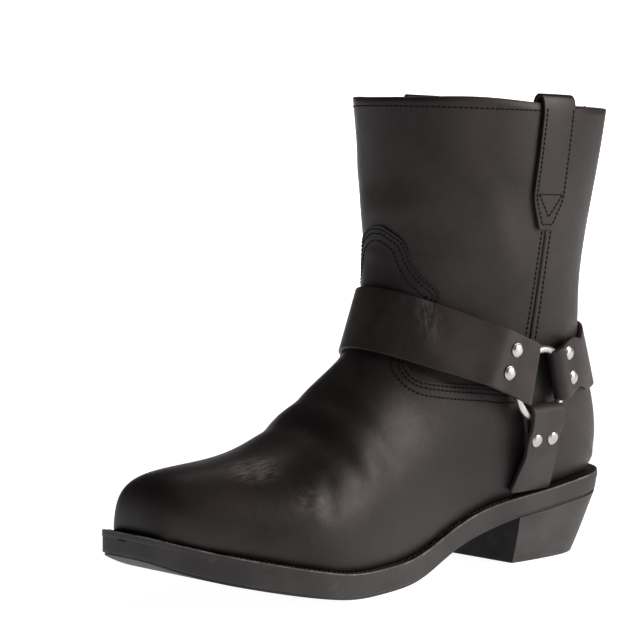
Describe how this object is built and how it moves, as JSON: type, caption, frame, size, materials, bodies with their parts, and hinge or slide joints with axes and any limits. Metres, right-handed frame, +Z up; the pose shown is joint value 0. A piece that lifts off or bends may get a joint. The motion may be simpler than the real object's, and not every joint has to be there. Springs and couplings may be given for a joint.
{
  "type": "harness boot",
  "caption": "Low western boot in black oiled leather with a strap harness on steel rings, pull loops and a stacked heel.",
  "frame": {"origin": "on the floor, under the middle of the boot's bounding box", "axes": "+X towards the toe, +Y towards the outer side of the left foot, +Z up"},
  "size_m": [0.308, 0.1146, 0.2443],
  "materials": {
    "upper_leather": "smooth oiled black leather, soft sheen",
    "strap_leather": "thick oiled black strap leather, soft sheen",
    "insole": "matt dark lining leather",
    "welt": "matt black welt with stitching",
    "sole": "matt grey-black sole and heel",
    "harness_metal": "bright nickelled steel wire",
    "rivet_metal": "bright nickelled domed rivets"
  },
  "bodies": {
    "root": {"outsole": "sole", "welt": "welt", "heel": "sole", "insole": "insole", "upper": "upper_leather", "vamp": "upper_leather", "instep_strap": "strap_leather", "heel_strap": "strap_leather", "ring_outer": "harness_metal", "arch_strap_outer": "strap_leather", "side_seam_outer": "upper_leather", "pull_loop_outer": "upper_leather", "rivet_instep_outer_1": "rivet_metal", "rivet_instep_outer_2": "rivet_metal", "rivet_heel_outer_1": "rivet_metal", "rivet_heel_outer_2": "rivet_metal", "rivet_arch_outer_1": "rivet_metal", "rivet_arch_outer_2": "rivet_metal", "ring_inner": "harness_metal", "arch_strap_inner": "strap_leather", "side_seam_inner": "upper_leather", "pull_loop_inner": "upper_leather", "rivet_instep_inner_1": "rivet_metal", "rivet_instep_inner_2": "rivet_metal", "rivet_heel_inner_1": "rivet_metal", "rivet_heel_inner_2": "rivet_metal", "rivet_arch_inner_1": "rivet_metal", "rivet_arch_inner_2": "rivet_metal"}
  },
  "joints": []
}
